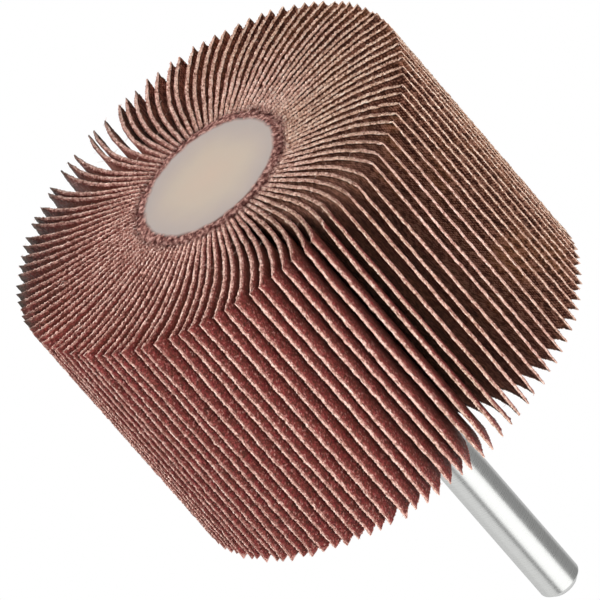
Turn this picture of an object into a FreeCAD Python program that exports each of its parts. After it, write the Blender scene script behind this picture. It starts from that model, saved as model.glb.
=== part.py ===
import FreeCAD, Part
import math
import os
import Sketcher

# Mounted flap wheel for a drill or a die grinder, in millimetres.
#
# Strips of abrasive cloth stand on edge round a cast resin core, which grips a steel spindle.
# The wheel stands on its plain front face: the origin is the middle of that face, and +Z runs
# along the axis, through the wheel and out along the spindle to its free end.
# Every flap curls the same way, towards a positive turn about +Z, with its grit on the outside
# of the curl and its bare cloth on the inside.

# Driving dimensions. Angles are in degrees.
SIZES = {
    # Wheel, as it is sold: diameter by width
    "wheel_diameter": 60,
    "wheel_width": 40,
    # Flaps: their number, their thickness and the film of resin between two neighbours at the
    # root set how wide the core is
    "flap_count": 104,
    "flaps_per_node": 2,
    "flap_thickness": 0.55,
    "root_film": 0.054,
    # Each flap leans back, straight, near its root, and curls forward from there to the rim
    "root_lean": 1,
    "root_length": 8.5,
    "curl_radius": 30,
    # Spindle: the ground shank outside the resin, and the thinner anchor cast into it
    "shank_diameter": 6,
    "shank_length": 40,
    "shank_chamfer": 1,
    "anchor_diameter": 5.6,
    "anchor_length": 32,
    # Two notches opposite each other fill with resin: they stop the anchor turning in the core
    # and hold it along the axis
    "notch_depth": 0.7,
    "notch_length": 14,
    "notch_end_gap": 8,
}

# Lengths that follow from the driving dimensions
WHEEL_RADIUS = "Sizes.wheel_diameter / 2"
CORE_FACE = "(Sizes.flap_thickness + Sizes.root_film) / (2 * tan(180 / Sizes.flap_count))"
SHANK_RADIUS = "Sizes.shank_diameter / 2"
ANCHOR_RADIUS = "Sizes.anchor_diameter / 2"
FLAP_PITCH = "360 / Sizes.flap_count"

# Heights this close are the same height
NEAR = 1e-6


def make_sheet(doc):
    """Put the driving dimensions in a sheet, each with its own alias."""
    sheet = doc.addObject("Spreadsheet::Sheet", "Sizes")
    for row, (name, value) in enumerate(SIZES.items(), start=1):
        sheet.set(f"A{row}", name)
        sheet.set(f"B{row}", str(value))
        sheet.setAlias(f"B{row}", name)
    doc.recompute()
    return sheet


def origin_feature(body, role):
    """The plane or axis of a body's own origin with this role."""
    return next(feature for feature in body.Origin.OriginFeatures if feature.Role == role)


def add_sketch(body, name, role):
    """An empty sketch on one of the body's own origin planes."""
    sketch = body.newObject("Sketcher::SketchObject", name)
    sketch.AttachmentSupport = [(origin_feature(body, role), "")]
    sketch.MapMode = "FlatFace"
    return sketch


def drive(sketch, name, expression, *constraint):
    """Add a named dimension to a sketch and bind it to the sheet."""
    index = sketch.addConstraint(Sketcher.Constraint(*constraint))
    sketch.renameConstraint(index, name)
    sketch.setExpression(f"Constraints.{name}", expression)


def join(sketch, *pairs):
    """Make pairs of sketch points coincide, each pair as edge, point, edge, point."""
    for pair in pairs:
        sketch.addConstraint(Sketcher.Constraint("Coincident", *pair))


def add_pin(body, name, radius, radius_from, length_from):
    """A round bar on the body's own axis, which starts at its XY plane."""
    section = add_sketch(body, f"{name}Section", "XY_Plane")
    circle = section.addGeometry(Part.Circle(FreeCAD.Vector(), FreeCAD.Vector(0, 0, 1), radius), False)
    join(section, (circle, 3, -1, 1))
    drive(section, "radius", radius_from, "Radius", circle, radius)
    bar = body.newObject("PartDesign::Pad", name)
    bar.Profile = section
    bar.setExpression("Length", length_from)
    return bar


def add_rectangle(sketch, low, high):
    """A rectangle with level and upright sides, from its low corner to its high corner.

    Its edges are numbered from 0: bottom, right, top, left, each starting where the last ends.
    """
    corners = [
        FreeCAD.Vector(low[0], low[1], 0),
        FreeCAD.Vector(high[0], low[1], 0),
        FreeCAD.Vector(high[0], high[1], 0),
        FreeCAD.Vector(low[0], high[1], 0),
    ]
    for start, end in zip(corners, corners[1:] + corners[:1]):
        sketch.addGeometry(Part.LineSegment(start, end), False)
    join(sketch, (0, 2, 1, 1), (1, 2, 2, 1), (2, 2, 3, 1), (3, 2, 0, 1))
    for edge, kind in enumerate(("Horizontal", "Vertical", "Horizontal", "Vertical")):
        sketch.addConstraint(Sketcher.Constraint(kind, edge))


def end_edges(feature, height):
    """Names of the round edges of a feature's shape that lie at this height."""
    edges = []
    for number, edge in enumerate(feature.Shape.Edges, start=1):
        box = edge.BoundBox
        if edge.Closed and max(abs(box.ZMin - height), abs(box.ZMax - height)) < NEAR:
            edges.append(f"Edge{number}")
    return edges


# Spindle


def make_spindle(doc):
    """A steel pin drawn about its shoulder, which lies on the core's back end.

    The shank stands up from the shoulder and the anchor hangs down from it, into the core.
    """
    body = doc.addObject("PartDesign::Body", "Spindle")
    body.Label = "spindle"
    body.setExpression(".Placement.Base.z", "Sizes.wheel_width")
    add_pin(body, "Shank", SIZES["shank_diameter"] / 2, SHANK_RADIUS, "Sizes.shank_length")
    anchor = add_pin(body, "Anchor", SIZES["anchor_diameter"] / 2, ANCHOR_RADIUS, "Sizes.anchor_length")
    anchor.Reversed = True
    doc.recompute()

    free_end = body.newObject("PartDesign::Chamfer", "FreeEnd")
    free_end.Base = (anchor, end_edges(anchor, SIZES["shank_length"]))
    free_end.setExpression("Size", "Sizes.shank_chamfer")
    doc.recompute()
    cut_notches(body)
    return body


def cut_notches(body):
    """Two notches milled straight across the anchor, opposite each other, short of its end."""
    radius = SIZES["anchor_diameter"] / 2
    below = SIZES["anchor_length"] - SIZES["notch_end_gap"]
    low = (radius - SIZES["notch_depth"], -below)
    high = (radius, SIZES["notch_length"] - below)
    outline = add_sketch(body, "NotchOutline", "XZ_Plane")
    add_rectangle(outline, low, high)
    drive(outline, "floor", f"{ANCHOR_RADIUS} - Sizes.notch_depth", "DistanceX", -1, 1, 0, 1, low[0])
    drive(outline, "below", "Sizes.anchor_length - Sizes.notch_end_gap", "DistanceY", 0, 1, -1, 1, below)
    drive(outline, "depth", "Sizes.notch_depth", "DistanceX", 0, 1, 0, 2, high[0] - low[0])
    drive(outline, "length", "Sizes.notch_length", "DistanceY", 1, 1, 1, 2, high[1] - low[1])
    notch = body.newObject("PartDesign::Pocket", "AnchorNotch")
    notch.Profile = outline
    notch.SideType = "Symmetric"
    notch.setExpression("Length", "Sizes.anchor_diameter")
    notches = body.newObject("PartDesign::Mirrored", "AnchorNotches")
    notches.Originals = [notch]
    notches.MirrorPlane = (origin_feature(body, "YZ_Plane"), [""])
    body.Tip = notches


# Resin core


def make_core(doc, spindle):
    """Resin cast inside the ring of flaps and round the spindle, level with the flaps at both ends.

    It takes the form of the flaps' square root ends, one flat face to each flap.
    """
    casting = doc.addObject("Part::Prism", "CoreCasting")
    casting.Label = "core_casting"
    casting.setExpression("Polygon", "Sizes.flap_count")
    casting.setExpression("Circumradius", f"{CORE_FACE} / cos(180 / Sizes.flap_count)")
    casting.setExpression("Height", "Sizes.wheel_width")
    casting.setExpression(".Placement.Rotation.Angle", f"{FLAP_PITCH} / 2")
    core = doc.addObject("Part::Cut", "ResinCore")
    core.Label = "resin_core"
    core.Base = casting
    core.Tool = spindle
    return core


# Flaps


def point_at_rim(centre, face_radius, radius):
    """Where a face of the flap meets the wheel's rim, a circle about the axis."""
    reach = math.hypot(*centre)
    turn = math.acos((radius**2 + reach**2 - face_radius**2) / (2 * radius * reach))
    angle = math.atan2(centre[1], centre[0]) - turn
    return radius * math.cos(angle), radius * math.sin(angle)


def add_arc(sketch, centre, start, end):
    """An arc about a centre, anticlockwise from one point to another."""
    circle = Part.Circle(FreeCAD.Vector(*centre, 0), FreeCAD.Vector(0, 0, 1), math.dist(centre, start))
    angles = [math.atan2(point[1] - centre[1], point[0] - centre[0]) for point in (start, end)]
    return sketch.addGeometry(Part.ArcOfCircle(circle, *angles), False)


def add_line(sketch, start, end):
    """A straight edge from one point to another."""
    return sketch.addGeometry(Part.LineSegment(FreeCAD.Vector(*start, 0), FreeCAD.Vector(*end, 0)), False)


def add_flap_outline(sketch):
    """End view of one flap: a strip of even thickness whose middle line is straight, then an arc.

    Its square root end lies on a flat face of the core. The strip leans back there and curls
    forward to the rim, where the wheel is dressed round.
    """
    curl_radius = SIZES["curl_radius"]
    half_thickness = SIZES["flap_thickness"] / 2
    facet = SIZES["flap_thickness"] + SIZES["root_film"]
    core_face = facet / (2 * math.tan(math.pi / SIZES["flap_count"]))
    wheel_radius = SIZES["wheel_diameter"] / 2
    lean = math.radians(SIZES["root_lean"])
    across = core_face + SIZES["root_length"] * math.cos(lean) + curl_radius * math.sin(lean)
    height = curl_radius * math.cos(lean) - SIZES["root_length"] * math.sin(lean)
    centre = (across, height)

    root = add_line(sketch, (core_face, -half_thickness), (core_face, half_thickness))
    rim = sketch.addGeometry(Part.Circle(FreeCAD.Vector(), FreeCAD.Vector(0, 0, 1), wheel_radius), True)
    faces = []
    for name, side in (("grit", 1), ("cloth", -1)):
        radius = curl_radius + side * half_thickness
        bend = (across - radius * math.sin(lean), height - radius * math.cos(lean))
        straight = add_line(sketch, (core_face, bend[1] + (bend[0] - core_face) * math.tan(lean)), bend)
        curl = add_arc(sketch, centre, bend, point_at_rim(centre, radius, wheel_radius))
        sketch.addConstraint(Sketcher.Constraint("Tangent", straight, 2, curl, 1))
        sketch.addConstraint(Sketcher.Constraint("PointOnObject", curl, 2, rim))
        radius_from = f"(Sizes.curl_radius {'+' if side > 0 else '-'} Sizes.flap_thickness / 2)"
        drive(sketch, f"{name}_radius", radius_from, "Radius", curl, radius)
        bend_from = f"{radius_from} * sin(Sizes.root_lean)"
        drive(sketch, f"{name}_bend", bend_from, "DistanceX", curl, 1, curl, 3, across - bend[0])
        faces.append((straight, curl))

    (grit_root, grit), (cloth_root, cloth) = faces
    tip_ends = [point_at_rim(centre, curl_radius + side * half_thickness, wheel_radius) for side in (1, -1)]
    tip = add_line(sketch, *tip_ends)
    join(sketch, (grit_root, 1, root, 1), (root, 2, cloth_root, 1), (cloth, 2, tip, 2), (tip, 1, grit, 2))
    join(sketch, (grit, 3, cloth, 3), (rim, 3, -1, 1))
    sketch.addConstraint(Sketcher.Constraint("Vertical", root))

    lean_across = "Sizes.root_length * cos(Sizes.root_lean) + Sizes.curl_radius * sin(Sizes.root_lean)"
    height_from = "Sizes.curl_radius * cos(Sizes.root_lean) - Sizes.root_length * sin(Sizes.root_lean)"
    drive(sketch, "curl_across", f"{CORE_FACE} + {lean_across}", "DistanceX", -1, 1, grit, 3, across)
    drive(sketch, "curl_height", height_from, "DistanceY", -1, 1, grit, 3, height)
    drive(sketch, "core_face", CORE_FACE, "DistanceX", -1, 1, root, 1, core_face)
    drive(sketch, "wheel_radius", WHEEL_RADIUS, "Radius", rim, wheel_radius)


def make_flaps(doc, first):
    """The flaps of one node: neighbours round the core, counted from the first one's number."""
    number = first // SIZES["flaps_per_node"] + 1
    body = doc.addObject("PartDesign::Body", f"Flaps{number:02d}")
    body.Label = f"flap_pair_{number:02d}"
    body.AllowCompound = True
    body.setExpression(".Placement.Rotation.Angle", f"{first} * {FLAP_PITCH}")
    outline = add_sketch(body, "FlapOutline", "XY_Plane")
    add_flap_outline(outline)
    strip = body.newObject("PartDesign::Pad", "FlapStrip")
    strip.Profile = outline
    strip.setExpression("Length", "Sizes.wheel_width")
    strips = body.newObject("PartDesign::PolarPattern", "FlapStrips")
    strips.Originals = [strip]
    strips.Axis = (origin_feature(body, "Z_Axis"), [""])
    strips.Mode = "Spacing"
    strips.setExpression("Offset", FLAP_PITCH)
    strips.setExpression("Occurrences", f"min(Sizes.flaps_per_node; Sizes.flap_count - {first})")
    body.Tip = strips
    return body


# Model


def check(doc, parts):
    """Stop if an object failed to build or a part isn't made of sound closed solids."""
    for item in doc.Objects:
        if "Invalid" in item.State or "Error" in item.State:
            raise RuntimeError(f"{item.Label} did not build: {item.State}")
    for part in parts:
        shape = part.Shape
        if shape.isNull() or not shape.isValid() or not shape.Solids:
            raise RuntimeError(f"{part.Label} is not a valid solid")


def main():
    doc = FreeCAD.newDocument("FlapWheel")
    make_sheet(doc)
    spindle = make_spindle(doc)
    core = make_core(doc, spindle)
    firsts = range(0, SIZES["flap_count"], SIZES["flaps_per_node"])
    parts = [spindle, core] + [make_flaps(doc, first) for first in firsts]
    doc.recompute()
    check(doc, parts)

    os.makedirs("parts", exist_ok=True)
    for part in parts:
        part.Shape.exportStep(f"parts/{part.Label}.step")
        print(part.Label, len(part.Shape.Solids), round(part.Shape.Volume, 3))


main()
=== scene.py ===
import math

import bpy
import numpy as np
from mathutils import Matrix, Vector


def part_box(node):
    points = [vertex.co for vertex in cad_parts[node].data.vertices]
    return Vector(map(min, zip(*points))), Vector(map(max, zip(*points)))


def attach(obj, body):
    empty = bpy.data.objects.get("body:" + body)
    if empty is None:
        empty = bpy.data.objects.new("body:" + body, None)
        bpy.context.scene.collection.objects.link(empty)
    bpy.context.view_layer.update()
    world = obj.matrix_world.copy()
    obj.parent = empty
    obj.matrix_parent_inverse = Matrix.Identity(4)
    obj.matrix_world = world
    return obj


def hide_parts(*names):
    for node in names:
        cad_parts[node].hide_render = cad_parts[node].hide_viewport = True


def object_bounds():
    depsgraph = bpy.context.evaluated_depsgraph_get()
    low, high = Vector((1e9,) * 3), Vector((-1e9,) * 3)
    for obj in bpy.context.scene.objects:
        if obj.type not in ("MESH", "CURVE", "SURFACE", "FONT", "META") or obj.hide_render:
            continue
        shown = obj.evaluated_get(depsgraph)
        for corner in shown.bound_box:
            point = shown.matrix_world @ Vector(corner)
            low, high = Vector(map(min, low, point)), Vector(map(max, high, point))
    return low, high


# Mounted flap wheel, dressed over its frame. Lengths are in metres, angles in degrees.
#
# The wheel stands on its plain front face, with its spindle up. The camera looks at that face
# from below, so the floor shows only from above.

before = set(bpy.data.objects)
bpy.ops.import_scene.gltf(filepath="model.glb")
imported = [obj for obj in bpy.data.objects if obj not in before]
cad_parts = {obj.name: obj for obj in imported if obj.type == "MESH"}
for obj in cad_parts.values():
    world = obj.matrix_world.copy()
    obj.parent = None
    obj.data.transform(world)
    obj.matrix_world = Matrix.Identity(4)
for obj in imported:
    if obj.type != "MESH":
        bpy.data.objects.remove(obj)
cad_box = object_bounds()

# Sizes read from the frame
FLAP_NODES = sorted(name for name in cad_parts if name.startswith("flap_pair_"))
FLAPS_PER_NODE = 2
FLAP_COUNT = FLAPS_PER_NODE * len(FLAP_NODES)
PITCH = 360 / FLAP_COUNT
CORE_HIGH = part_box("resin_core")[1]
WHEEL_WIDTH = CORE_HIGH.z
CORE_FACE = CORE_HIGH.x
SPINDLE_LOW, SPINDLE_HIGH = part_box("spindle")
SHANK_RADIUS = SPINDLE_HIGH.x
WHEEL_RADIUS = (cad_box[1].x - cad_box[0].x) / 2

# Form of one flap, as it is modelled: straight near the root, then curled
FLAP_THICKNESS = 0.55e-3
ROOT_LEAN = 1
ROOT_LENGTH = 8.5e-3
CURL_RADIUS = 30e-3

# The cloth's thread spacing
THREAD = 0.46e-3

# Every flap's random numbers start from this and from the flap's own number
SEED = 104


# Meshes


def new_piece(name, vertices, faces, materials, slot, *nodes):
    """A mesh piece that rides on the part and stands for the named nodes."""
    mesh = bpy.data.meshes.new(name)
    mesh.from_pydata(vertices, [], faces)
    for material in materials:
        mesh.materials.append(material)
    piece = bpy.data.objects.new(name, mesh)
    bpy.context.scene.collection.objects.link(piece)
    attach(piece, "root")
    if nodes:
        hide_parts(*nodes)
    return piece


def smooth_below(mesh, angle):
    """Shade a mesh smooth, apart from the edges that turn by more than this angle."""
    mesh.shade_smooth()
    mesh.set_sharp_from_angle(angle=math.radians(angle))


def lathe(name, profile, sides, material, slot, *nodes):
    """A piece turned about the wheel's axis, from its profile's radii and heights."""
    turns = np.arange(sides) * 2 * math.pi / sides
    vertices = [
        (radius * math.cos(turn), radius * math.sin(turn), height)
        for radius, height in profile
        for turn in turns
    ]
    faces = []
    for row in range(len(profile) - 1):
        for side in range(sides):
            after = (side + 1) % sides
            low, high = row * sides, (row + 1) * sides
            faces.append((low + side, low + after, high + after, high + side))
    faces.append(tuple(range(sides))[::-1])
    faces.append(tuple(range((len(profile) - 1) * sides, len(profile) * sides)))
    piece = new_piece(name, vertices, faces, [material], slot, *nodes)
    smooth_below(piece.data, 35)
    return piece


# Materials

# The spacing of the cloth's threads, in the millimetres of a flap's map, as a wave texture's scale
WAVE_SCALE = 2 * math.pi / 20 / (THREAD * 1e3)

# How far out the core's resin has soaked into the flaps: wholly, and at all
SOAKED_RADIUS = 11.3e-3
DRY_RADIUS = 12.3e-3

# The cast resin's end: its colour shades out to the first radius, and its stain starts at the second
# and is full at the third
DISC_RADIUS = 9.8e-3
CLEAN_RADIUS = 9.6e-3
STAINED_RADIUS = 10.15e-3

# The side of the rim where the flaps' tips are darkened, and how far that way the darkening starts and is
# full
DARK_TIPS_TOWARD = (0.71, 0.71, 0)
DARK_TIPS_FROM = 18e-3
DARK_TIPS_FULL = 27e-3


def new_material(name):
    """An empty node material, its node maker and its shader."""
    material = bpy.data.materials.new(name)
    material.use_nodes = True
    tree = material.node_tree
    shader = tree.nodes["Principled BSDF"]
    return material, tree, shader


def add_node(tree, kind, inputs=None, **settings):
    """A node with its settings and inputs. An input is a value or another node's output."""
    node = tree.nodes.new(kind)
    for name, value in settings.items():
        setattr(node, name, value)
    for name, value in (inputs or {}).items():
        if isinstance(value, bpy.types.NodeSocket):
            tree.links.new(value, node.inputs[name])
        else:
            node.inputs[name].default_value = value
    return node


def color_ramp(tree, factor, *stops):
    """A colour that follows a factor through stops of position and colour."""
    node = add_node(tree, "ShaderNodeValToRGB", {"Fac": factor})
    ramp = node.color_ramp
    while len(ramp.elements) < len(stops):
        ramp.elements.new(1)
    for element, (position, color) in zip(ramp.elements, stops):
        element.position = position
        element.color = (*color, 1)
    return node.outputs["Color"]


def compute(tree, operation, first, second):
    """Two values joined by a sum, a product or the like."""
    return add_node(tree, "ShaderNodeMath", {0: first, 1: second}, operation=operation).outputs[0]


def mix_color(tree, factor, first, second, blend="MIX"):
    """Two colours mixed by a factor, or the second added to the first by it."""
    node = add_node(tree, "ShaderNodeMix", data_type="RGBA", blend_type=blend)
    for index, value in ((0, factor), (6, first), (7, second)):
        if isinstance(value, bpy.types.NodeSocket):
            tree.links.new(value, node.inputs[index])
        else:
            node.inputs[index].default_value = value if index == 0 else (*value, 1)
    return node.outputs[2]


def ranged(tree, value, low, high, to_low=0, to_high=1):
    """A value carried from one range to another, without leaving it."""
    inputs = {"Value": value, "From Min": low, "From Max": high, "To Min": to_low, "To Max": to_high}
    return add_node(tree, "ShaderNodeMapRange", inputs).outputs["Result"]


def noise(tree, where, scale, detail=2, roughness=0.5):
    """A noise texture's value."""
    inputs = {"Vector": where, "Scale": scale, "Detail": detail, "Roughness": roughness}
    return add_node(tree, "ShaderNodeTexNoise", inputs).outputs["Fac"]


def place(tree):
    """The place of a point in the row frame."""
    return add_node(tree, "ShaderNodeTexCoord").outputs["Object"]


def distance_from_axis(tree, where):
    """How far a point is from the wheel's axis."""
    flat = add_node(tree, "ShaderNodeVectorMath", {0: where, 1: (1, 1, 0)}, operation="MULTIPLY")
    return add_node(tree, "ShaderNodeVectorMath", {0: flat.outputs[0]}, operation="LENGTH").outputs["Value"]


def bump(tree, height, strength, distance):
    """A normal roughened by a height."""
    inputs = {"Height": height, "Strength": strength, "Distance": distance}
    return add_node(tree, "ShaderNodeBump", inputs).outputs["Normal"]


def ragged_radius(tree, where, scale, reach):
    """The distance from the axis, made uneven, so that what follows it has a ragged edge."""
    uneven = ranged(tree, noise(tree, where, scale, 3), 0.25, 0.75, -reach, reach)
    return compute(tree, "ADD", distance_from_axis(tree, where), uneven)


def soaked(tree, where):
    """How far the core's resin has soaked into a flap: 1 at its root, 0 further out."""
    return ranged(tree, ragged_radius(tree, where, 1300, 0.6e-3), SOAKED_RADIUS, DRY_RADIUS, 1, 0)


def from_edges(tree, where):
    """How far a point of a flap is from its front or back edge and from its tip, in millimetres.

    The flap's own map of radius and height gives both. They are made uneven.
    """
    marks = add_node(tree, "ShaderNodeUVMap", uv_map="cloth").outputs["UV"]
    split = add_node(tree, "ShaderNodeSeparateXYZ", {"Vector": marks})
    front = split.outputs["Y"]
    back = compute(tree, "SUBTRACT", WHEEL_WIDTH * 1e3, front)
    tip = compute(tree, "SUBTRACT", WHEEL_RADIUS * 1e3, split.outputs["X"])
    uneven = ranged(tree, noise(tree, where, 1900, 2), 0.3, 0.7, -0.1, 0.1)
    side = compute(tree, "MINIMUM", front, back)
    return [compute(tree, "ADD", edge, uneven) for edge in (side, tip)]


def rubbed(tree, side, side_reach, tip, tip_reach):
    """How pale a face is worn: 1 at its cut edges, falling off to 0 at these many millimetres."""
    near = compute(
        tree, "MAXIMUM",
        ranged(tree, side, 0.02, side_reach, 1, 0), ranged(tree, tip, 0.02, tip_reach, 1, 0),
    )
    return compute(tree, "MULTIPLY", near, near)


def inside(tree, side, tip):
    """How deep a point lies between the flaps, from 0 to 1."""
    return compute(tree, "MULTIPLY", ranged(tree, tip, 1.5, 6), ranged(tree, side, 0.3, 1.2))


def darkened_side(tree, where):
    """How far a point lies towards the side of the rim whose tips are darkened."""
    inputs = {0: where, 1: DARK_TIPS_TOWARD}
    toward = add_node(tree, "ShaderNodeVectorMath", inputs, operation="DOT_PRODUCT")
    uneven = ranged(tree, noise(tree, where, 420, 2), 0.3, 0.7, -2.5e-3, 2.5e-3)
    reach = compute(tree, "ADD", toward.outputs["Value"], uneven)
    return ranged(tree, reach, DARK_TIPS_FROM, DARK_TIPS_FULL)


def darkened_tips(tree, where, tip, color):
    """A colour darkened at the tips on one side of the rim: less further in and nearly black at the very
    tip.
    """
    dark_part = darkened_side(tree, where)
    end = ranged(tree, tip, 0.2, 2.4, 1, 0.34)
    return mix_color(tree, compute(tree, "MULTIPLY", dark_part, end), color, (0.06, 0.048, 0.04))


def tan_side(tree, where):
    """Where the wheel's edges turn tan rather than pink: one side of it, in patches."""
    across = add_node(tree, "ShaderNodeSeparateXYZ", {"Vector": where}).outputs["X"]
    uneven = ranged(tree, noise(tree, where, 70, 2), 0.3, 0.7, -14e-3, 14e-3)
    return ranged(tree, compute(tree, "ADD", across, uneven), 2e-3, -22e-3, 0, 1)


def make_grit():
    """Reddish-brown abrasive: crushed grains set in resin, worn pale along the cut edges."""
    material, tree, shader = new_material("grit")
    where = place(tree)
    grains = add_node(tree, "ShaderNodeTexVoronoi", {"Vector": where, "Scale": 4300})
    shade = add_node(tree, "ShaderNodeSeparateColor", {"Color": grains.outputs["Color"]})
    color = color_ramp(
        tree, shade.outputs["Red"],
        (0, (0.045, 0.008, 0.006)), (0.3, (0.13, 0.024, 0.019)), (0.7, (0.25, 0.044, 0.037)),
        (0.9, (0.42, 0.105, 0.09)), (1, (0.70, 0.36, 0.31)),
    )
    hue = color_ramp(
        tree, noise(tree, where, 1500, 2),
        (0.36, (0.13, 0.052, 0.034)), (0.5, (0.20, 0.056, 0.046)), (0.66, (0.27, 0.038, 0.045)),
    )
    color = mix_color(tree, 0.35, color, hue)
    side, tip = from_edges(tree, where)
    # Deep between the flaps the grit is painted lighter: painted light in the gaps, which would otherwise
    # render darker.
    color = mix_color(tree, inside(tree, side, tip), color, (0.34, 0.14, 0.105))
    worn = mix_color(tree, shade.outputs["Blue"], (0.40, 0.16, 0.13), (0.80, 0.48, 0.41))
    color = mix_color(tree, rubbed(tree, side, 0.26, tip, 0.3), color, worn)
    color = darkened_tips(tree, where, tip, color)
    color = mix_color(tree, soaked(tree, where), color, (0.30, 0.14, 0.11))
    tree.links.new(color, shader.inputs["Base Color"])
    shader.inputs["Specular IOR Level"].default_value = 0.25
    tree.links.new(
        ranged(tree, shade.outputs["Green"], 0, 1, 0.4, 0.85), shader.inputs["Roughness"]
    )
    height = ranged(tree, grains.outputs["Distance"], 0, 0.7, 1, 0)
    tree.links.new(bump(tree, height, 0.9, 0.1e-3), shader.inputs["Normal"])
    return material


def make_cloth():
    """Brown bare cloth: a plain weave stiffened with glue, frayed pale along the cut edges."""
    material, tree, shader = new_material("cloth_back")
    where = place(tree)
    marks = add_node(tree, "ShaderNodeUVMap", uv_map="cloth").outputs["UV"]
    threads = []
    for direction in ("X", "Y"):
        inputs = {
            "Vector": marks, "Scale": WAVE_SCALE, "Distortion": 1.4, "Detail": 2, "Detail Scale": 2,
        }
        bands = {"wave_type": "BANDS", "bands_direction": direction}
        threads.append(add_node(tree, "ShaderNodeTexWave", inputs, **bands).outputs["Fac"])
    crossing = compute(tree, "MULTIPLY", threads[0], threads[1])
    fuzz = noise(tree, where, 4800, 2)
    weave = compute(
        tree, "ADD", compute(tree, "MULTIPLY", crossing, 0.7), compute(tree, "MULTIPLY", fuzz, 0.5)
    )
    color = color_ramp(
        tree, weave,
        (0.2, (0.055, 0.016, 0.009)), (0.42, (0.22, 0.078, 0.048)), (0.75, (0.56, 0.29, 0.195)),
    )
    patches = noise(tree, where, 120, 3)
    color = mix_color(tree, ranged(tree, patches, 0.48, 0.66, 0, 0.6), color, (0.44, 0.19, 0.08))
    soiled = noise(tree, where, 330, 3, 0.6)
    color = mix_color(tree, ranged(tree, soiled, 0.45, 0.33, 0, 0.7), color, (0.035, 0.014, 0.01))
    slubs = noise(tree, where, 1500, 2, 0.6)
    color = mix_color(tree, ranged(tree, slubs, 0.54, 0.38, 0, 0.8), color, (0.045, 0.015, 0.010))
    color = mix_color(tree, ranged(tree, slubs, 0.5, 0.66, 0, 0.6), color, (0.54, 0.27, 0.185))
    side, tip = from_edges(tree, where)
    # Deep between the flaps the cloth is painted lighter: painted light in the gaps.
    color = mix_color(tree, inside(tree, side, tip), color, (0.17, 0.09, 0.065), "ADD")
    # Near the wheel's ends the cloth is painted darker: painted shade in the gaps between the cut edges.
    color = mix_color(tree, ranged(tree, side, 0.9, 0.2, 0, 0.85), color, (0.035, 0.016, 0.011))
    frayed = mix_color(tree, tan_side(tree, where), (0.62, 0.40, 0.33), (0.62, 0.44, 0.34))
    color = mix_color(tree, rubbed(tree, side, 0.14, tip, 0.22), color, frayed)
    color = darkened_tips(tree, where, tip, color)
    color = mix_color(tree, soaked(tree, where), color, (0.30, 0.14, 0.11))
    tree.links.new(color, shader.inputs["Base Color"])
    shader.inputs["Roughness"].default_value = 0.95
    shader.inputs["Specular IOR Level"].default_value = 0.1
    tree.links.new(bump(tree, weave, 0.8, 0.14e-3), shader.inputs["Normal"])
    return material


def make_cut_edge():
    """The cloth's side of a cut edge: pale thread ends, dark where the core's resin soaks in."""
    material, tree, shader = new_material("cut_edge")
    where = place(tree)
    fibres = noise(tree, where, 2300, 3, 0.65)
    pink = color_ramp(
        tree, fibres,
        (0.32, (0.22, 0.085, 0.064)), (0.42, (0.60, 0.33, 0.265)), (0.53, (0.92, 0.62, 0.52)),
        (0.66, (0.97, 0.82, 0.73)),
    )
    tan = color_ramp(
        tree, fibres,
        (0.32, (0.18, 0.08, 0.050)), (0.42, (0.54, 0.33, 0.235)), (0.53, (0.87, 0.615, 0.47)),
        (0.66, (0.97, 0.82, 0.69)),
    )
    color = mix_color(tree, tan_side(tree, where), pink, tan)
    patches = noise(tree, where, 300, 2)
    color = mix_color(tree, ranged(tree, patches, 0.4, 0.7, 0, 0.4), color, (0.46, 0.23, 0.17))
    tip = from_edges(tree, where)[1]
    color = darkened_tips(tree, where, tip, color)
    color = mix_color(tree, soaked(tree, where), color, stain(tree, where))
    tree.links.new(color, shader.inputs["Base Color"])
    shader.inputs["Roughness"].default_value = 0.95
    shader.inputs["Specular IOR Level"].default_value = 0.15
    tree.links.new(bump(tree, fibres, 0.9, 0.2e-3), shader.inputs["Normal"])
    return material


def make_cut_core():
    """The middle of a cut edge: coarser thread ends, darker than the cloth's side, partly as painted shade
    across the rounded edge, and browner towards one side.
    """
    material, tree, shader = new_material("cut_core")
    where = place(tree)
    fibres = noise(tree, where, 1700, 3, 0.65)
    pink = color_ramp(
        tree, fibres,
        (0.35, (0.26, 0.11, 0.085)), (0.46, (0.60, 0.345, 0.28)), (0.57, (0.88, 0.59, 0.50)),
        (0.69, (0.97, 0.79, 0.70)),
    )
    tan = color_ramp(
        tree, fibres,
        (0.35, (0.16, 0.072, 0.050)), (0.46, (0.36, 0.205, 0.148)), (0.57, (0.64, 0.42, 0.315)),
        (0.69, (0.90, 0.69, 0.56)),
    )
    tip = from_edges(tree, where)[1]
    color = darkened_tips(tree, where, tip, mix_color(tree, tan_side(tree, where), pink, tan))
    color = mix_color(tree, soaked(tree, where), color, stain(tree, where))
    tree.links.new(color, shader.inputs["Base Color"])
    shader.inputs["Roughness"].default_value = 0.95
    shader.inputs["Specular IOR Level"].default_value = 0.15
    tree.links.new(bump(tree, fibres, 0.9, 0.2e-3), shader.inputs["Normal"])
    return material


def make_grit_edge():
    """The grit layer where it is cut: reddish brown, mottled with pale crushed grains."""
    material, tree, shader = new_material("grit_edge")
    where = place(tree)
    grains = noise(tree, where, 2500, 3, 0.6)
    color = color_ramp(
        tree, grains,
        (0.34, (0.10, 0.029, 0.023)), (0.45, (0.26, 0.10, 0.082)), (0.56, (0.48, 0.23, 0.19)),
        (0.68, (0.86, 0.56, 0.48)),
    )
    tip = from_edges(tree, where)[1]
    color = darkened_tips(tree, where, tip, color)
    color = mix_color(tree, soaked(tree, where), color, stain(tree, where))
    tree.links.new(color, shader.inputs["Base Color"])
    shader.inputs["Roughness"].default_value = 0.85
    shader.inputs["Specular IOR Level"].default_value = 0.2
    tree.links.new(bump(tree, grains, 0.9, 0.2e-3), shader.inputs["Normal"])
    return material


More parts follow.
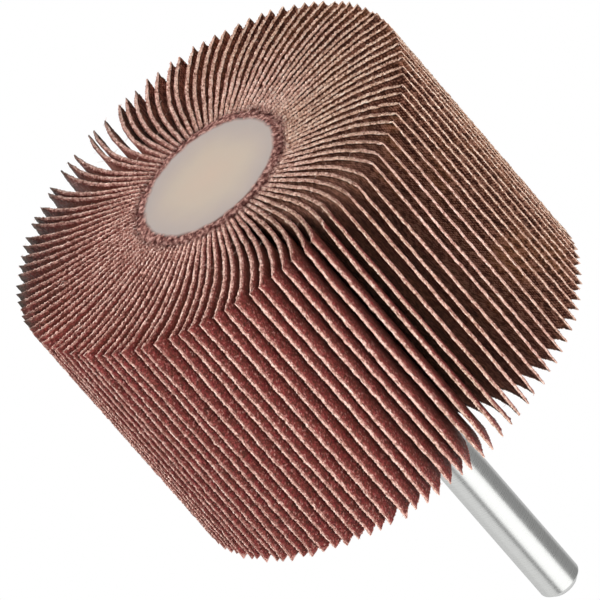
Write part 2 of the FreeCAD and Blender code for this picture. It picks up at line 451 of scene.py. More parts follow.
def make_fibre():
    """Loose threads: nearly white cotton, tinted by dust."""
    material, tree, shader = new_material("fibre")
    where = place(tree)
    tint = noise(tree, where, 900, 2)
    color = color_ramp(tree, tint, (0.35, (0.45, 0.25, 0.20)), (0.6, (0.85, 0.62, 0.54)))
    tree.links.new(color, shader.inputs["Base Color"])
    shader.inputs["Roughness"].default_value = 0.9
    shader.inputs["Specular IOR Level"].default_value = 0.15
    return material


def stain(tree, where):
    """The speckled reddish brown of resin that has picked up dust and grit."""
    specks = noise(tree, where, 1600, 4, 0.65)
    return color_ramp(
        tree, specks,
        (0.37, (0.045, 0.015, 0.013)), (0.5, (0.18, 0.074, 0.063)), (0.64, (0.54, 0.32, 0.27)),
    )


def make_resin():
    """Milky casting resin: smooth, warmer in the middle and greyer towards the flaps."""
    material, tree, shader = new_material("resin")
    where = place(tree)
    color = color_ramp(
        tree, ranged(tree, ragged_radius(tree, where, 130, 1.2e-3), 0, DISC_RADIUS),
        (0, (0.49, 0.388, 0.313)), (0.5, (0.463, 0.383, 0.313)), (0.85, (0.402, 0.338, 0.302)),
        (1, (0.376, 0.324, 0.297)),
    )
    stained = ranged(tree, ragged_radius(tree, where, 800, 0.2e-3), CLEAN_RADIUS, STAINED_RADIUS)
    color = mix_color(tree, stained, color, stain(tree, where))
    tree.links.new(color, shader.inputs["Base Color"])
    tree.links.new(ranged(tree, stained, 0, 1, 0.4, 0.85), shader.inputs["Roughness"])
    shader.inputs["Specular IOR Level"].default_value = 0.1
    shader.inputs["Subsurface Weight"].default_value = 0.3
    shader.inputs["Subsurface Radius"].default_value = (1.0, 0.75, 0.6)
    shader.inputs["Subsurface Scale"].default_value = 0.6e-3
    ripple = compute(tree, "MULTIPLY", noise(tree, where, 2300, 3), ranged(tree, stained, 0, 1, 0.03, 1))
    tree.links.new(bump(tree, ripple, 0.8, 0.15e-3), shader.inputs["Normal"])
    return material


def make_steel():
    """Ground steel: polished, with fine marks round it."""
    material, tree, shader = new_material("steel")
    where = place(tree)
    stretched = add_node(tree, "ShaderNodeMapping", {"Vector": where, "Scale": (60, 60, 9000)})
    marks = noise(tree, stretched.outputs["Vector"], 1, 3, 0.6)
    color = mix_color(tree, ranged(tree, marks, 0.3, 0.7), (0.59, 0.595, 0.58), (0.64, 0.645, 0.635))
    tree.links.new(color, shader.inputs["Base Color"])
    shader.inputs["Metallic"].default_value = 1
    tree.links.new(ranged(tree, marks, 0.3, 0.7, 0.25, 0.33), shader.inputs["Roughness"])
    tree.links.new(bump(tree, marks, 0.08, 0.01e-3), shader.inputs["Normal"])
    return material


# Flaps

# A face's inner grid, and how finely its cut outline is divided along and through the cloth
RADIAL_CELLS = 12
AXIAL_CELLS = 20
SIDE_STEPS = 16
TIP_STEPS = 12
EDGE_SPLIT = (0, 0.3, 0.7, 1)
EDGE_ROWS = len(EDGE_SPLIT)
BORDER = 0.8e-3

# A tip is worn thinner from its grit side
TIP_THICKNESS = 0.48e-3
TIP_WEAR = 1.5e-3
CORNER_WEAR = 0.5
CORNER_REACH = 1.8e-3

# Relief of a cut edge: how far its thread ends stand out and swell sideways, how far it is rounded
# across, and how deep it lies at the least and at the most
THREAD_END = 0.13e-3
THREAD_SWELL = 0.18e-3
EDGE_CROWN = 0.21e-3
EDGE_SHALLOWEST = 0.02e-3
EDGE_DEEPEST = 0.35e-3

# Its unevenness: from thread to thread, from point to point, and sideways in both ways
THREAD_UNEVEN = 0.035e-3
EDGE_GRAIN = 0.03e-3
SIDE_WANDER = 0.03e-3
SIDE_WANDER_LENGTH = 0.9e-3
SIDE_GRAIN = 0.02e-3

# Near the core, resin covers the cut edges, which are drawn back there
BURIED_DEPTH = 0.14e-3
BURIED_RADIUS = 12e-3
BURIED_SLOPE = 0.8e-3

# A tip's corners: the height of each, and the least and the most that it is worn back
CORNER_SHIFTS = (0, -0.1e-3, 0.08e-3), (WHEEL_WIDTH, -0.5e-3, 0.05e-3)
CORNER_ROUND = 0.6e-3


def curl_angle(radius):
    """How far a flap's middle line has turned from its root's angle, at a distance from the axis."""
    lean = math.radians(ROOT_LEAN)
    bend = (CORE_FACE + ROOT_LENGTH * math.cos(lean), -ROOT_LENGTH * math.sin(lean))
    centre = (bend[0] + CURL_RADIUS * math.sin(lean), bend[1] + CURL_RADIUS * math.cos(lean))
    reach = math.hypot(*centre)
    cosine = (radius**2 + reach**2 - CURL_RADIUS**2) / (2 * radius * reach)
    curled = math.atan2(centre[1], centre[0]) - np.arccos(np.clip(cosine, -1, 1))
    length = np.sqrt(radius**2 - (CORE_FACE * math.sin(lean)) ** 2) - CORE_FACE * math.cos(lean)
    straight = -np.arcsin(length * math.sin(lean) / radius)
    return np.where(radius < math.hypot(*bend), straight, curled)


def value_noise(rng, length, cell):
    """A smooth random function along a length, of about unit size, with one value to a cell."""
    knots = np.arange(-1, length / cell + 2) * cell
    values = rng.standard_normal(len(knots))

    def at(place_along):
        x = np.clip(place_along, knots[0], knots[-1] - 1e-9) / cell + 1
        low = np.floor(x).astype(int)
        part = x - low
        ease = part * part * (3 - 2 * part)
        return values[low] * (1 - ease) + values[np.minimum(low + 1, len(values) - 1)] * ease

    return at


# Round the wheel, the flaps lie off their true place in broad bands. Each band has its middle and
# its spread in degrees, and how far it shifts the tips and the middles of its flaps sideways.
BANDS = (
    (0, 20, -1.2e-3, 0),
    (45, 16, -0.5e-3, -0.1e-3),
    (82, 17, 0.3e-3, -0.6e-3),
    (190, 40, 0.3e-3, 0),
    (270, 50, 0.5e-3, -0.1e-3),
)

# Partings, where neighbours lean away from each other: middle and spread in degrees, and the shift
PARTINGS = (
    (-24, 4, 0.35e-3), (15, 3, 0.15e-3), (50, 3, 0.2e-3), (66, 3, 0.2e-3), (118, 4, 0.15e-3),
    (166, 4, 0.2e-3), (226, 3, 0.15e-3), (305, 4, 0.15e-3),
)

# Each flap's own random shifts: the spread of each, and the most that a flap leans by itself
LEAN_SPREAD = 0.14e-3
LEAN_MOST = 0.25e-3
TWIST_SPREAD = 0.07e-3
BOW_SPREAD = 0.06e-3
BELLY_SPREAD = 0.04e-3
LIFT_SPREAD = 0.12e-3

# How far from its end a flap is lifted, and the height and length of its two sizes of ripple
LIFT_REACH = 5e-3
RIPPLE = 0.03e-3
RIPPLE_LENGTH = 7e-3
FLUTTER = 0.012e-3
FLUTTER_LENGTH = 2.2e-3

# Where the rim has been handled, in degrees, and how much more its flaps lean there
HANDLED_ANGLE = 62
HANDLED_SPREAD = 20
HANDLED_LEAN = 1.6


def wrapped(angle):
    """An angle between -180 and 180 degrees."""
    return (angle + 180) % 360 - 180


def make_bend(rng, angle):
    """How one flap lies off its true curl: metres sideways, for a radius and a height."""
    nearness = [math.exp(-0.5 * (wrapped(angle - at) / spread) ** 2) for at, spread, _, _ in BANDS]
    slack = sum(near * band[2] for near, band in zip(nearness, BANDS))
    belly = sum(near * band[3] for near, band in zip(nearness, BANDS))
    parted = sum(
        math.copysign(shift * math.exp(-abs(wrapped(angle - at)) / spread), wrapped(angle - at))
        for at, spread, shift in PARTINGS
    )
    from_handled = wrapped(angle - HANDLED_ANGLE) / HANDLED_SPREAD
    handled = 1 + HANDLED_LEAN * math.exp(-0.5 * from_handled**2)
    lean = np.clip(rng.normal(0, LEAN_SPREAD), -LEAN_MOST, LEAN_MOST) * handled
    twist = rng.normal(0, TWIST_SPREAD)
    bow = rng.normal(0, BOW_SPREAD)
    front_lift, back_lift = rng.normal(0, LIFT_SPREAD, 2)
    ripple = value_noise(rng, WHEEL_WIDTH, RIPPLE_LENGTH)
    flutter = value_noise(rng, WHEEL_WIDTH, FLUTTER_LENGTH)
    belly = belly + rng.normal(0, BELLY_SPREAD)

    def sideways(radius, height):
        out = np.clip((radius - CORE_FACE) / (WHEEL_RADIUS - CORE_FACE), 0, 1)
        along = height / WHEEL_WIDTH
        free = out**1.6
        shift = slack * out**2.5 + (lean + parted) * free
        shift = shift + twist * (2 * along - 1) * free + bow * (np.sin(math.pi * along) - 0.6) * free
        shift = shift + belly * np.sin(math.pi * out**0.8)
        shift = shift + (RIPPLE * ripple(height) + FLUTTER * flutter(height)) * free
        lift = front_lift * np.exp(-height / LIFT_REACH)
        lift = lift + back_lift * np.exp(-(WHEEL_WIDTH - height) / LIFT_REACH)
        return shift + lift * out**3

    return sideways


def place_flap(angle, sideways, radius, height, depth):
    """Points of a flap, from their distance out, their height and their depth through the cloth."""
    step = 1e-5

    def middle(at):
        return math.radians(angle) + curl_angle(at) + sideways(at, height) / at

    turn = middle(radius)
    slope = np.arctan(radius * (middle(radius + step) - turn) / step)
    x = radius * np.cos(turn) - depth * np.sin(turn + slope)
    y = radius * np.sin(turn) + depth * np.cos(turn + slope)
    return np.stack([x, y, height + 0 * x], -1)


def outline_stations():
    """The cut outline of a flap from its root along the front, up the tip and back to the root.

    It gives each point's radius and height, the edge that it lies on, as an inward direction
    with a part along the radius and a part along the height, and the points that meet the grid.
    """
    radii = np.linspace(CORE_FACE, WHEEL_RADIUS - BORDER, RADIAL_CELLS + 1)
    heights = np.linspace(BORDER, WHEEL_WIDTH - BORDER, AXIAL_CELLS + 1)
    fine_radii = np.linspace(radii[0], radii[-1], RADIAL_CELLS * SIDE_STEPS + 1)
    fine_heights = np.linspace(heights[0], heights[-1], AXIAL_CELLS * TIP_STEPS + 1)
    points = [(radius, 0, 0, 1) for radius in fine_radii]
    points.append((WHEEL_RADIUS, 0, -1, 1))
    points += [(WHEEL_RADIUS, height, -1, 0) for height in fine_heights]
    points.append((WHEEL_RADIUS, WHEEL_WIDTH, -1, -1))
    points += [(radius, WHEEL_WIDTH, 0, -1) for radius in fine_radii[::-1]]
    front = [cell * SIDE_STEPS for cell in range(RADIAL_CELLS + 1)]
    tip = [front[-1] + 2 + cell * TIP_STEPS for cell in range(AXIAL_CELLS + 1)]
    back = [tip[-1] + 2 + cell * SIDE_STEPS for cell in range(RADIAL_CELLS + 1)][::-1]
    return radii, heights, np.array(points, float), front, tip, back


GRID_RADII, GRID_HEIGHTS, OUTLINE, FRONT, TIP, BACK = outline_stations()
GRID_SIZE = len(GRID_RADII) * len(GRID_HEIGHTS)
OUTLINE_SIZE = len(OUTLINE)
GRIT, CLOTH, CUT, CORE_CUT, GRIT_CUT, FIBRE = range(6)


def flap_faces():
    """Faces of one flap, with the material of each: two grids, their borders and the cut edge."""

    def grid(side, i, j):
        return side * GRID_SIZE + i * len(GRID_HEIGHTS) + j

    def edge(row, point):
        return 2 * GRID_SIZE + row * OUTLINE_SIZE + point

    faces = []
    materials = []
    last_i, last_j = RADIAL_CELLS, AXIAL_CELLS
    for side, row, material in ((0, 0, GRIT), (1, EDGE_ROWS - 1, CLOTH)):
        loops = []
        for i in range(RADIAL_CELLS):
            for j in range(AXIAL_CELLS):
                around = (i, j), (i + 1, j), (i + 1, j + 1), (i, j + 1)
                loops.append([grid(side, *corner) for corner in around])
            low = [edge(row, p) for p in range(FRONT[i], FRONT[i + 1] + 1)]
            loops.append(low + [grid(side, i + 1, 0), grid(side, i, 0)])
            high = [edge(row, p) for p in range(BACK[i + 1], BACK[i] + 1)]
            loops.append(high + [grid(side, i, last_j), grid(side, i + 1, last_j)])
        for j in range(AXIAL_CELLS):
            outer = [edge(row, p) for p in range(TIP[j], TIP[j + 1] + 1)]
            loops.append(outer + [grid(side, last_i, j + 1), grid(side, last_i, j)])
        front = [edge(row, p) for p in range(FRONT[-1], TIP[0] + 1)]
        back = [edge(row, p) for p in range(TIP[-1], BACK[-1] + 1)]
        loops += [front + [grid(side, last_i, 0)], back + [grid(side, last_i, last_j)]]
        faces += [loop if side == 0 else loop[::-1] for loop in loops]
        materials += [material] * len(loops)
    for row in range(EDGE_ROWS - 1):
        for point in range(OUTLINE_SIZE - 1):
            after = point + 1
            faces.append([edge(row, after), edge(row, point), edge(row + 1, point), edge(row + 1, after)])
            # The middle row is darker than the cloth's side, partly as painted shade across the rounded
            # edge.
            materials.append((GRIT_CUT, CORE_CUT, CUT)[row])
    for j in range(AXIAL_CELLS):
        faces.append([grid(0, 0, j), grid(0, 0, j + 1), grid(1, 0, j + 1), grid(1, 0, j)])
        materials.append(CUT)
    root_front = [edge(row, 0) for row in range(EDGE_ROWS)]
    root_back = [edge(row, OUTLINE_SIZE - 1) for row in range(EDGE_ROWS)]
    faces.append(root_front[::-1] + [grid(0, 0, 0), grid(1, 0, 0)])
    faces.append(root_back + [grid(1, 0, last_j), grid(0, 0, last_j)])
    materials += [CUT, CUT]
    return faces, materials


FLAP_FACES, FLAP_MATERIALS = flap_faces()


def thickness(radius, height):
    """The flap's thickness, worn down towards the tip and more at the tip's corners."""
    worn = np.clip((radius - WHEEL_RADIUS + TIP_WEAR) / TIP_WEAR, 0, 1) ** 1.5
    corner = np.hypot(WHEEL_RADIUS - radius, np.minimum(height, WHEEL_WIDTH - height))
    left = FLAP_THICKNESS + (TIP_THICKNESS - FLAP_THICKNESS) * worn
    return left * (1 - CORNER_WEAR * np.exp(-corner / CORNER_REACH))


def flap_points(rng, angle, sideways):
    """Points of one flap, with their radius and height on the cloth."""
    half = FLAP_THICKNESS / 2
    grid_radius, grid_height = np.meshgrid(GRID_RADII, GRID_HEIGHTS, indexing="ij")
    grid_radius, grid_height = grid_radius.ravel(), grid_height.ravel()
    points = [
        place_flap(angle, sideways, grid_radius, grid_height, depth)
        for depth in (half - thickness(grid_radius, grid_height), half)
    ]
    marks = [np.stack([grid_radius, grid_height], -1)] * 2

    radius, height, inward_radius, inward_height = OUTLINE.T
    path = np.concatenate([[0], np.cumsum(np.hypot(np.diff(radius), np.diff(height)))])
    out = (radius - CORE_FACE) / (WHEEL_RADIUS - CORE_FACE)
    at_tip = (inward_radius < 0) * 1.0
    worn = BURIED_DEPTH * np.clip((BURIED_RADIUS - radius) / BURIED_SLOPE, 0, 1)
    for corner, least, most in CORNER_SHIFTS:
        away = np.hypot(radius - WHEEL_RADIUS, height - corner)
        worn = worn + rng.uniform(least, most) * np.exp(-away / CORNER_ROUND)
    turn = path / THREAD + 0.3 * value_noise(rng, path[-1], 2 * THREAD)(path)
    ends = 0.5 + 0.5 * np.cos(2 * math.pi * turn)
    uneven = value_noise(rng, path[-1], THREAD)(path)
    wander = SIDE_WANDER * value_noise(rng, path[-1], SIDE_WANDER_LENGTH)(path)
    wander = wander * np.clip(out * 4, 0.2, 1)
    for across in EDGE_SPLIT:
        crown = EDGE_CROWN * (2 * across - 1) ** 2 * (1 - 0.6 * at_tip)
        recess = EDGE_SHALLOWEST + THREAD_END * (1 - ends) * (1 - 0.4 * at_tip) + crown
        recess = recess + THREAD_UNEVEN * uneven + EDGE_GRAIN * rng.uniform(-1, 1, len(path))
        recess = worn + np.clip(recess, 0, EDGE_DEEPEST)
        depth = half - thickness(radius, height) * (1 - across) + wander
        swell = (across - 0.5) * THREAD_SWELL * (ends - 0.5) * (1 - 0.3 * at_tip)
        depth = depth + swell + SIDE_GRAIN * rng.uniform(-1, 1, len(path))
        moved_radius = np.minimum(radius + inward_radius * recess, WHEEL_RADIUS)
        moved_height = height + inward_height * recess
        ring = place_flap(angle, sideways, moved_radius, moved_height, depth)
        reach = np.hypot(ring[:, 0], ring[:, 1])
        limit = np.where(inward_radius < 0, moved_radius, WHEEL_RADIUS) / reach
        ring[:, :2] *= np.where(inward_radius < 0, limit, np.minimum(limit, 1))[:, None]
        points.append(ring)
        marks.append(np.stack([moved_radius, moved_height], -1))
    return np.concatenate(points), np.concatenate(marks)


# Loose threads along a flap's front and back edges, at its corners and along its tip
SIDE_FIBRES = 9
CORNER_FIBRES = 2
TIP_FIBRES = 4
FIBRE_RINGS = 4
FIBRE_SIDES = 3

# Those along a side start between these radii, and a corner's start this far in from the tip
FIBRE_FROM = 12e-3
FIBRE_SPAN = 17.8e-3
CORNER_INSET = 0.1e-3

# Their length in millimetres is spread log-normally between two limits
FIBRE_LOG_MEAN = -0.9
FIBRE_LOG_SPREAD = 0.45
FIBRE_SHORTEST = 0.2
FIBRE_LONGEST = 1.2

# They start this deep inside the cloth, and are between this thin and this thick
FIBRE_ROOT = 0.25e-3
FIBRE_THINNEST = 0.025e-3
FIBRE_THICKEST = 0.05e-3

# Past this radius they are shorter and thicker
FRAYED_RADIUS = 27e-3
FRAYED_LENGTH = 0.4
FRAYED_BULK = 1.6


def fibre_spots(rng):
    """Where a flap's loose threads start: radius, height, and the inward directions there."""
    spots = []
    for height, inward in ((0, 1), (WHEEL_WIDTH, -1)):
        near_root = rng.random(SIDE_FIBRES) ** 1.5
        spots += [(FIBRE_FROM + FIBRE_SPAN * at, height, 0, inward) for at in near_root]
        spots += [(WHEEL_RADIUS - CORNER_INSET, height, 0, inward)] * CORNER_FIBRES
    spots += [(WHEEL_RADIUS, WHEEL_WIDTH * at, -1, 0) for at in rng.random(TIP_FIBRES)]
    return np.array(spots)


def fibre_points(rng, angle, sideways):
    """Points of a flap's loose threads, ring by ring: each lies across its cut edge and curls."""
    radius, height, inward_radius, inward_height = fibre_spots(rng).T[:, :, None]
    count = len(radius)
    along = np.linspace(0, 1, FIBRE_RINGS)[None, :]
    length = rng.lognormal(FIBRE_LOG_MEAN, FIBRE_LOG_SPREAD, (count, 1))
    length = np.clip(length, FIBRE_SHORTEST, FIBRE_LONGEST) * 1e-3
    length = np.where(radius > FRAYED_RADIUS, FRAYED_LENGTH * length, length)
    side = rng.choice((-1, 1), (count, 1))
    curl = rng.normal(0, 0.5, (count, 1)) * length
    recess = rng.uniform(0.03e-3, 0.2e-3, (count, 1))
    recess = recess + rng.uniform(-0.02e-3, 0.15e-3, (count, 1)) * along
    recess = recess + FIBRE_ROOT * (1 - along) ** 2
    slide = curl * along**2 + rng.normal(0, 0.15, (count, 1)) * length * along
    across = (FLAP_THICKNESS - thickness(radius, height)) / 2 + side * length * along
    at_radius = radius + inward_radius * recess + np.abs(inward_height) * slide
    at_height = height + inward_height * recess + np.abs(inward_radius) * slide
    middle = place_flap(angle, sideways, at_radius, at_height, across)
    out = middle[..., :2] / np.hypot(middle[..., 0], middle[..., 1])[..., None]
    bulk = np.where(radius > FRAYED_RADIUS, FRAYED_BULK, 1)
    size = bulk * rng.uniform(FIBRE_THINNEST, FIBRE_THICKEST, (count, 1)) * (1 - 0.6 * along)
    size = size[..., None]
    rings = []
    for turn in np.arange(FIBRE_SIDES) * 2 * math.pi / FIBRE_SIDES:
        ring = middle.copy()
        ring[..., :2] += size * math.cos(turn) * out
        ring[..., 2] += size[..., 0] * math.sin(turn)
        rings.append(ring)
    points = np.stack(rings, 2).reshape(-1, 3)
    points[:, 2] = np.clip(points[:, 2], 0, WHEEL_WIDTH)
    reach = np.hypot(points[:, 0], points[:, 1])
    points[:, :2] *= np.minimum(1, WHEEL_RADIUS / reach)[:, None]
    return points


def fibre_faces(count):
    """Faces of loose threads: their sides and their two ends."""
    faces = []
    for fibre in range(count):
        rings = [
            [(fibre * FIBRE_RINGS + ring) * FIBRE_SIDES + side for side in range(FIBRE_SIDES)]
            for ring in range(FIBRE_RINGS)
        ]
        for low, high in zip(rings, rings[1:]):
            for side in range(FIBRE_SIDES):
                after = (side + 1) % FIBRE_SIDES
                faces.append([low[side], low[after], high[after], high[side]])
        faces += [rings[0][::-1], rings[-1]]
    return faces


FIBRE_COUNT = 2 * (SIDE_FIBRES + CORNER_FIBRES) + TIP_FIBRES
FIBRE_FACES = fibre_faces(FIBRE_COUNT)


def add_flaps(node, first, materials):
    """The flaps that stand for one node, with their loose threads, as one piece."""
    vertices, marks, faces, kinds = [], [], [], []
    start = 0
    for flap in range(first, first + FLAPS_PER_NODE):
        rng = np.random.default_rng([SEED, flap])
        sideways = make_bend(rng, flap * PITCH)
        points, places = flap_points(rng, flap * PITCH, sideways)
        threads = fibre_points(rng, flap * PITCH, sideways)
        vertices += [points, threads]
        marks += [places, np.zeros((len(threads), 2))]
        faces += [[start + corner for corner in face] for face in FLAP_FACES]
        start += len(points)
        faces += [[start + corner for corner in face] for face in FIBRE_FACES]
        start += len(threads)
        kinds += FLAP_MATERIALS + [FIBRE] * len(FIBRE_FACES)
    vertices = np.concatenate(vertices)
    marks = np.concatenate(marks)
    piece = new_piece(f"{node}_cloth", vertices.tolist(), faces, materials, "abrasive_cloth", node)
    mesh = piece.data
    mesh.polygons.foreach_set("material_index", kinds)
    corners = np.empty(len(mesh.loops), int)
    mesh.loops.foreach_get("vertex_index", corners)
    cloth = mesh.uv_layers.new(name="cloth")
    cloth.data.foreach_set("uv", (marks[corners] * 1e3).ravel())
    smooth_below(mesh, 40)


# Core and spindle


# Resin at each end of the core: radius and depth under the end, out from its edge over the roots
# of the flaps and back in between them
MENISCUS = (
    (9.6e-3, 0.02e-3), (10.1e-3, 0.01e-3), (10.4e-3, 0.03e-3), (10.7e-3, 0.06e-3),
    (10.95e-3, 0.09e-3), (11.15e-3, 0.15e-3), (11.3e-3, 0.28e-3), (11.4e-3, 0.6e-3),
    (10.8e-3, 0.9e-3),
)

# From this radius on, over this width, the resin's edge swings in and out and carries lumps
UNEVEN_RADIUS = 10.2e-3
UNEVEN_WIDTH = 1e-3
EDGE_SWING = 0.2e-3
LUMP_HEIGHT = 0.03e-3

# The unevenness fades to nothing over this many degrees where the turn starts and ends
SEAM_WIDTH = 10


def add_core(material):
    """The cast resin: a slight hollow in each end, and an uneven edge drawn up over the roots."""
    sides = 4 * FLAP_COUNT
    hollow = 0.12e-3
    fractions = np.linspace(0.02, 0.96, 14)
    flat = [(fraction * MENISCUS[0][0], hollow * (1 - fraction**2)) for fraction in fractions]
    end = flat + list(MENISCUS) + [(CORE_FACE, 1e-3)]
    profile = end + [(at, WHEEL_WIDTH - depth) for at, depth in end[::-1] if at > SHANK_RADIUS]
    profile.append((SHANK_RADIUS - 0.1e-3, WHEEL_WIDTH - hollow))
    core = lathe("core_casting", profile, sides, material, "cast_resin", "resin_core")
    rng = np.random.default_rng(SEED)
    broad, fine = value_noise(rng, 360, 24), value_noise(rng, 360, 2.5)
    lumps = value_noise(rng, 360, 1.6)
    for vertex in core.data.vertices:
        radius = math.hypot(vertex.co.x, vertex.co.y)
        reach = min(1, max(0, (radius - UNEVEN_RADIUS) / UNEVEN_WIDTH))
        if reach > 0:
            turn = math.degrees(math.atan2(vertex.co.y, vertex.co.x)) % 360
            seam = min(1, turn / SEAM_WIDTH, (360 - turn) / SEAM_WIDTH)
            uneven = seam * reach * (EDGE_SWING * broad(turn) + EDGE_SWING * fine(turn))
            vertex.co.xy *= 1 + float(uneven) / radius
            lump = seam * reach * LUMP_HEIGHT * abs(float(lumps(turn + 900 * radius)))
            vertex.co.z += lump if vertex.co.z < WHEEL_WIDTH / 2 else -lump


def add_spindle(material):
    """The ground pin, its chamfer softened where it was polished."""
    sides = 128
    chamfer = 1e-3
    rounding = 0.36e-3
    anchor_radius = SHANK_RADIUS - 0.2e-3
    top = SPINDLE_HIGH.z
    shoulder = top - chamfer - 0.15e-3
    profile = [(anchor_radius, SPINDLE_LOW.z), (anchor_radius, WHEEL_WIDTH - 1e-3)]
    profile += [(SHANK_RADIUS, WHEEL_WIDTH - 0.9e-3), (SHANK_RADIUS, shoulder)]
    for turn in np.linspace(0, 45, 5):
        at = math.radians(turn)
        inset = rounding * (1 - math.cos(at))
        profile.append((SHANK_RADIUS - inset, shoulder + rounding * math.sin(at)))
    profile += [(SHANK_RADIUS - chamfer + 0.12e-3, top - 0.12e-3)]
    profile += [(SHANK_RADIUS - chamfer - 0.02e-3, top - 0.03e-3), (SHANK_RADIUS - chamfer - 0.2e-3, top)]
    lathe("spindle_pin", profile, sides, material, "spindle_steel", "spindle")


# Stage

# The camera, fitted to the photo: the wheel's axis is tilted and rolled in its view
VIEW_TILT = 29.80
VIEW_ROLL = 48.95
VIEW_DISTANCE = 2.4
VIEW_LENS = 1134.8
HUB_PIXEL = (208.8, 176.8)
IMAGE_SIZE = 600
SENSOR_WIDTH = 36

# The sky's own light, and soft lamps at one distance: the azimuth, elevation and width of each,
# and the level to which it lights a surface that faces it
SKY_LEVEL = 0.17
LAMP_DISTANCE = 0.7
LAMPS = {
    "key": (-12, -15, 0.25, 0.66),
    "fill": (6, -30, 0.2, 0.12),
    "side": (-55, 12, 0.3, 0.48),
    "left": (72, 8, 0.35, 0.62),
    "far": (156, -30, 0.25, 1.85),
    "above": (185, 55, 0.3, 0.7),
}

# Cards for the steel to reflect, turned to the shank: the azimuth, size and grey of each
CARD_DISTANCE = 0.5
CARD_ELEVATION = 30
CARD_TARGET = (0, 0, 0.06)
CARDS = {
    "white_card": (-11.5, (0.632, 0.5), 1.7),
    "grey_card": (-83, (0.807, 0.5), 0.35),
    "edge_card": (122, (0.32, 0.5), 0.84),
    "dark_strip": (41, (0.15, 0.5), 0.32),
    "back_card": (180, (1, 0.6), 0.70),
}


def add_camera():
    """The camera, at the photo's angle, with the middle of the front face at its pixel."""
    tilt, roll = math.radians(VIEW_TILT), math.radians(VIEW_ROLL)
    away = Vector((0, math.cos(tilt), math.sin(tilt)))
    right = Vector((-math.sin(roll), -math.cos(roll) * math.sin(tilt), math.cos(roll) * math.cos(tilt)))
    down = Vector((math.cos(roll), -math.sin(roll) * math.sin(tilt), math.sin(roll) * math.cos(tilt)))
    pixel = VIEW_DISTANCE * SENSOR_WIDTH / VIEW_LENS / IMAGE_SIZE
    across, below = ((IMAGE_SIZE / 2 - at) * pixel for at in HUB_PIXEL)
    data = bpy.data.cameras.new("camera")
    data.lens = VIEW_LENS
    data.sensor_width = SENSOR_WIDTH
    data.clip_end = 100
    camera = bpy.data.objects.new("camera", data)
    turn = Matrix((right, -down, -away)).transposed().to_4x4()
    where = right * across + down * below - away * VIEW_DISTANCE
    camera.matrix_world = Matrix.Translation(where) @ turn
    bpy.context.scene.collection.objects.link(camera)
    bpy.context.scene.camera = camera


def add_plane(name, size, matrix, material):
    """A flat sheet of the stage."""
    mesh = bpy.data.meshes.new(name)
    x, y = size[0] / 2, size[1] / 2
    mesh.from_pydata([(-x, -y, 0), (x, -y, 0), (x, y, 0), (-x, y, 0)], [], [(0, 1, 2, 3)])
    mesh.materials.append(material)
    sheet = bpy.data.objects.new(name, mesh)
    sheet.matrix_world = matrix
    bpy.context.scene.collection.objects.link(sheet)
    return sheet


def add_floor():
    """A pale floor that shows from above, and lets through the light and the view from below."""
    material, tree, shader = new_material("floor")
    shader.inputs["Base Color"].default_value = (0.86, 0.86, 0.86, 1)
    shader.inputs["Roughness"].default_value = 0.9
    below = add_node(tree, "ShaderNodeNewGeometry").outputs["Backfacing"]
    clear = add_node(tree, "ShaderNodeBsdfTransparent")
    mixed = add_node(tree, "ShaderNodeMixShader", {0: below, 1: shader.outputs[0], 2: clear.outputs[0]})
    tree.links.new(mixed.outputs[0], tree.nodes["Material Output"].inputs["Surface"])
    floor = add_plane("floor", (20, 20), Matrix.Translation((0, 0, -0.1e-3)), material)
    floor.visible_diffuse = False
    floor.visible_glossy = False
    floor.visible_shadow = False


def facing(azimuth, elevation, distance, target=(0, 0, 0.03)):
    """A place round the wheel, with its -Z axis on the target. Azimuth 0 is on the -Y side."""
    turn, rise = math.radians(azimuth), math.radians(elevation)
    back = Vector((math.sin(turn) * math.cos(rise), -math.cos(turn) * math.cos(rise), math.sin(rise)))
    where = Vector(target) + back * distance
    return Matrix.Translation(where) @ (-back).to_track_quat("-Z", "Y").to_matrix().to_4x4()


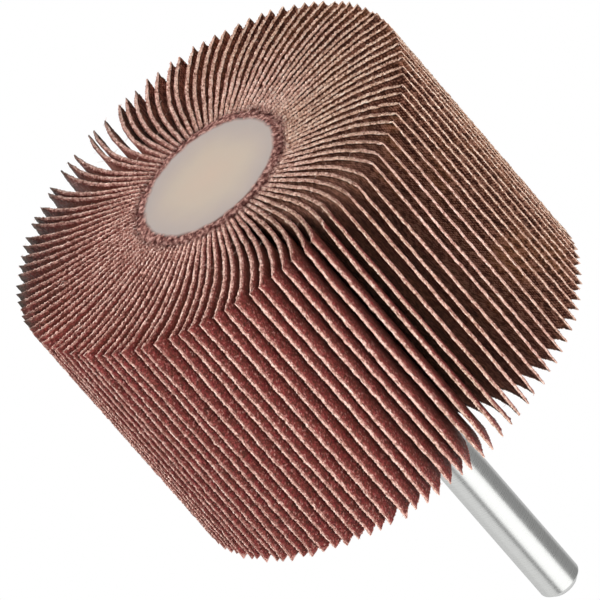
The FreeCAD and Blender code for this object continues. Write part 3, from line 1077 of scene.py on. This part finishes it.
def add_lamp(name, azimuth, elevation, size, level):
    """A soft square lamp that lights a surface facing it to this level."""
    data = bpy.data.lights.new(name, "AREA")
    data.shape = "SQUARE"
    data.size = size
    data.energy = level * math.pi**2 * LAMP_DISTANCE**2
    lamp = bpy.data.objects.new(name, data)
    lamp.matrix_world = facing(azimuth, elevation, LAMP_DISTANCE)
    lamp.visible_glossy = False
    bpy.context.scene.collection.objects.link(lamp)


def add_card(name, azimuth, size, grey):
    """A grey card that only the steel's reflections see."""
    material, tree, shader = new_material(name)
    tree.nodes.remove(shader)
    glow = add_node(tree, "ShaderNodeEmission", {"Color": (grey, grey, grey, 1)})
    tree.links.new(glow.outputs[0], tree.nodes["Material Output"].inputs["Surface"])
    turned = facing(azimuth, CARD_ELEVATION, CARD_DISTANCE, CARD_TARGET)
    card = add_plane(name, size, turned, material)
    card.visible_camera = False
    card.visible_diffuse = False
    card.visible_shadow = False


def add_light():
    """An even pale sky, white to the camera and in reflections, with the soft lamps and the cards."""
    world = bpy.data.worlds.new("sky")
    world.use_nodes = True
    bpy.context.scene.world = world
    tree = world.node_tree
    even = tree.nodes["Background"]
    even.inputs["Color"].default_value = (1, 1, 1, 1)
    even.inputs["Strength"].default_value = SKY_LEVEL
    white = add_node(tree, "ShaderNodeBackground", {"Color": (1, 1, 1, 1), "Strength": 1})
    path = add_node(tree, "ShaderNodeLightPath")
    seen = path.outputs["Is Camera Ray"]
    for ray in ("Is Glossy Ray", "Is Transmission Ray"):
        seen = compute(tree, "MAXIMUM", seen, path.outputs[ray])
    mixed = add_node(tree, "ShaderNodeMixShader", {0: seen, 1: even.outputs[0], 2: white.outputs[0]})
    tree.links.new(mixed.outputs[0], tree.nodes["World Output"].inputs["Surface"])
    for name, settings in LAMPS.items():
        add_lamp(name, *settings)
    for name, settings in CARDS.items():
        add_card(name, *settings)


# Scene


def main():
    makers = make_grit, make_cloth, make_cut_edge, make_cut_core, make_grit_edge, make_fibre
    materials = [make() for make in makers]
    for number, node in enumerate(FLAP_NODES):
        add_flaps(node, number * FLAPS_PER_NODE, materials)
    add_core(make_resin())
    add_spindle(make_steel())
    add_camera()
    add_floor()
    add_light()
    bpy.context.scene.view_settings.view_transform = "Standard"


main()
